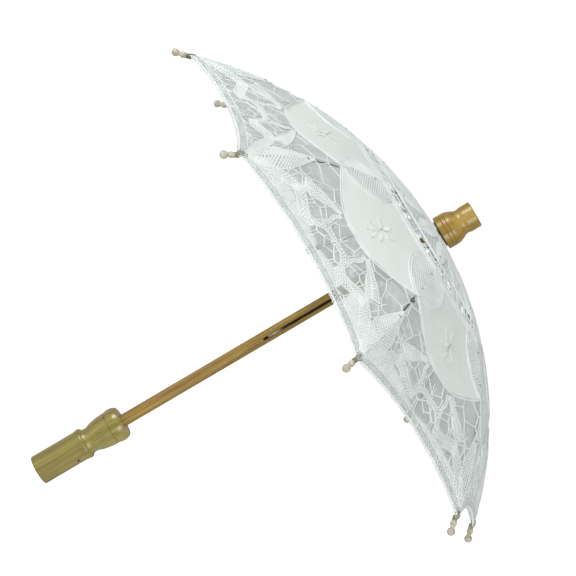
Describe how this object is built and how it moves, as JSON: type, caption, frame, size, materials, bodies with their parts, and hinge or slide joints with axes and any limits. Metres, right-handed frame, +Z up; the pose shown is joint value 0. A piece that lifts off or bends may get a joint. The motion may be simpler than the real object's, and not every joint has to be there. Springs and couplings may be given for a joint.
{
  "type": "lace parasol",
  "caption": "Small folding parasol with a turned wooden handle and finial, a sprung catch, wire ribs and struts and a scalloped white lace canopy.",
  "frame": {"origin": "centre of the flat bottom of the handle", "axes": "+Z up the shaft to the finial, -Y towards the catch and the slot in the shaft"},
  "size_m": [0.3518, 0.3518, 0.3051],
  "materials": {
    "shaft_wood": "lacquered hardwood dowel",
    "handle_wood": "satin lacquered pale wood",
    "finial_wood": "glossy lacquered golden wood",
    "dark_steel": "dark steel",
    "plated_steel": "dull nickel plate",
    "steel_wire": "drawn wire",
    "spring_steel": "bright spring steel",
    "frame_wire": "dark drawn wire",
    "tip_ivory": "ivory",
    "canopy_lace": "white cotton lace with linen patches"
  },
  "bodies": {
    "shaft": {"shaft": "shaft_wood", "handle": "handle_wood", "handle_brad": "dark_steel", "top_notch": "plated_steel", "notch_ring": "steel_wire", "crown_washer": "dark_steel", "finial": "finial_wood", "catch_pin": "steel_wire"},
    "catch": {"catch_spring": "spring_steel"},
    "rib_1": {"rib_1": "frame_wire", "rib_tip_1": "tip_ivory", "rib_clip_1": "plated_steel", "rib_rivet_1": "steel_wire", "canopy_sector_1": "canopy_lace"},
    "strut_1": {"strut_1": "frame_wire"},
    "rib_2": {"rib_2": "frame_wire", "rib_tip_2": "tip_ivory", "rib_clip_2": "plated_steel", "rib_rivet_2": "steel_wire", "canopy_sector_2": "canopy_lace"},
    "strut_2": {"strut_2": "frame_wire"},
    "rib_3": {"rib_3": "frame_wire", "rib_tip_3": "tip_ivory", "rib_clip_3": "plated_steel", "rib_rivet_3": "steel_wire", "canopy_sector_3": "canopy_lace"},
    "strut_3": {"strut_3": "frame_wire"},
    "rib_4": {"rib_4": "frame_wire", "rib_tip_4": "tip_ivory", "rib_clip_4": "plated_steel", "rib_rivet_4": "steel_wire", "canopy_sector_4": "canopy_lace"},
    "strut_4": {"strut_4": "frame_wire"},
    "rib_5": {"rib_5": "frame_wire", "rib_tip_5": "tip_ivory", "rib_clip_5": "plated_steel", "rib_rivet_5": "steel_wire", "canopy_sector_5": "canopy_lace"},
    "strut_5": {"strut_5": "frame_wire"},
    "rib_6": {"rib_6": "frame_wire", "rib_tip_6": "tip_ivory", "rib_clip_6": "plated_steel", "rib_rivet_6": "steel_wire", "canopy_sector_6": "canopy_lace"},
    "strut_6": {"strut_6": "frame_wire"},
    "rib_7": {"rib_7": "frame_wire", "rib_tip_7": "tip_ivory", "rib_clip_7": "plated_steel", "rib_rivet_7": "steel_wire", "canopy_sector_7": "canopy_lace"},
    "strut_7": {"strut_7": "frame_wire"},
    "rib_8": {"rib_8": "frame_wire", "rib_tip_8": "tip_ivory", "rib_clip_8": "plated_steel", "rib_rivet_8": "steel_wire", "canopy_sector_8": "canopy_lace"},
    "strut_8": {"strut_8": "frame_wire"},
    "runner": {"runner": "plated_steel", "runner_ring": "steel_wire"}
  },
  "joints": [
    {"name": "catch_press", "type": "hinge", "parent": "shaft", "child": "catch", "pos_m": [0, -0.0019, 0.162], "axis": [-1, 0, 0], "range_deg": [0, 2.4], "stiffness_Nm_per_rad": 0.05, "springref_deg": -14.32},
    {"name": "canopy_fold", "type": "hinge", "parent": "shaft", "child": "rib_1", "pos_m": [0, -0.0075, 0.2772], "axis": [1, 0, 0], "range_deg": [0, 64], "deforming": ["canopy_sector_1", "canopy_sector_2", "canopy_sector_3", "canopy_sector_4", "canopy_sector_5", "canopy_sector_6", "canopy_sector_7", "canopy_sector_8", "catch_spring"]},
    {"name": "strut_swing_1", "type": "hinge", "parent": "rib_1", "child": "strut_1", "pos_m": [0, -0.08514, 0.25965], "axis": [1, 0, 0], "range_deg": [-128.5, 0.5]},
    {"name": "rib_fold_2", "type": "hinge", "parent": "shaft", "child": "rib_2", "pos_m": [0.0053, -0.0053, 0.2772], "axis": [0.7071, 0.7071, 0], "range_deg": [0, 64]},
    {"name": "strut_swing_2", "type": "hinge", "parent": "rib_2", "child": "strut_2", "pos_m": [0.0602, -0.0602, 0.25965], "axis": [0.7071, 0.7071, 0], "range_deg": [-128.5, 0.5]},
    {"name": "rib_fold_3", "type": "hinge", "parent": "shaft", "child": "rib_3", "pos_m": [0.0075, 0, 0.2772], "axis": [0, 1, 0], "range_deg": [0, 64]},
    {"name": "strut_swing_3", "type": "hinge", "parent": "rib_3", "child": "strut_3", "pos_m": [0.08514, 0, 0.25965], "axis": [0, 1, 0], "range_deg": [-128.5, 0.5]},
    {"name": "rib_fold_4", "type": "hinge", "parent": "shaft", "child": "rib_4", "pos_m": [0.0053, 0.0053, 0.2772], "axis": [-0.7071, 0.7071, 0], "range_deg": [0, 64]},
    {"name": "strut_swing_4", "type": "hinge", "parent": "rib_4", "child": "strut_4", "pos_m": [0.0602, 0.0602, 0.25965], "axis": [-0.7071, 0.7071, 0], "range_deg": [-128.5, 0.5]},
    {"name": "rib_fold_5", "type": "hinge", "parent": "shaft", "child": "rib_5", "pos_m": [0, 0.0075, 0.2772], "axis": [-1, 0, 0], "range_deg": [0, 64]},
    {"name": "strut_swing_5", "type": "hinge", "parent": "rib_5", "child": "strut_5", "pos_m": [0, 0.08514, 0.25965], "axis": [-1, 0, 0], "range_deg": [-128.5, 0.5]},
    {"name": "rib_fold_6", "type": "hinge", "parent": "shaft", "child": "rib_6", "pos_m": [-0.0053, 0.0053, 0.2772], "axis": [-0.7071, -0.7071, 0], "range_deg": [0, 64]},
    {"name": "strut_swing_6", "type": "hinge", "parent": "rib_6", "child": "strut_6", "pos_m": [-0.0602, 0.0602, 0.25965], "axis": [-0.7071, -0.7071, 0], "range_deg": [-128.5, 0.5]},
    {"name": "rib_fold_7", "type": "hinge", "parent": "shaft", "child": "rib_7", "pos_m": [-0.0075, 0, 0.2772], "axis": [0, -1, 0], "range_deg": [0, 64]},
    {"name": "strut_swing_7", "type": "hinge", "parent": "rib_7", "child": "strut_7", "pos_m": [-0.08514, 0, 0.25965], "axis": [0, -1, 0], "range_deg": [-128.5, 0.5]},
    {"name": "rib_fold_8", "type": "hinge", "parent": "shaft", "child": "rib_8", "pos_m": [-0.0053, -0.0053, 0.2772], "axis": [0.7071, -0.7071, 0], "range_deg": [0, 64]},
    {"name": "strut_swing_8", "type": "hinge", "parent": "rib_8", "child": "strut_8", "pos_m": [-0.0602, -0.0602, 0.25965], "axis": [0.7071, -0.7071, 0], "range_deg": [-128.5, 0.5]},
    {"name": "runner_slide_turn", "type": "hinge", "parent": "strut_1", "child": "runner", "pos_m": [0, -0.0075, 0.24211], "axis": [1, 0, 0], "range_deg": [-0.5, 64.5]}
  ],
  "couplings": [
    {"joint": "strut_swing_1", "follows": "canopy_fold", "ratio": -2},
    {"joint": "rib_fold_2", "follows": "canopy_fold", "ratio": 1},
    {"joint": "strut_swing_2", "follows": "canopy_fold", "ratio": -2},
    {"joint": "rib_fold_3", "follows": "canopy_fold", "ratio": 1},
    {"joint": "strut_swing_3", "follows": "canopy_fold", "ratio": -2},
    {"joint": "rib_fold_4", "follows": "canopy_fold", "ratio": 1},
    {"joint": "strut_swing_4", "follows": "canopy_fold", "ratio": -2},
    {"joint": "rib_fold_5", "follows": "canopy_fold", "ratio": 1},
    {"joint": "strut_swing_5", "follows": "canopy_fold", "ratio": -2},
    {"joint": "rib_fold_6", "follows": "canopy_fold", "ratio": 1},
    {"joint": "strut_swing_6", "follows": "canopy_fold", "ratio": -2},
    {"joint": "rib_fold_7", "follows": "canopy_fold", "ratio": 1},
    {"joint": "strut_swing_7", "follows": "canopy_fold", "ratio": -2},
    {"joint": "rib_fold_8", "follows": "canopy_fold", "ratio": 1},
    {"joint": "strut_swing_8", "follows": "canopy_fold", "ratio": -2},
    {"joint": "runner_slide_turn", "follows": "canopy_fold", "ratio": 1}
  ]
}
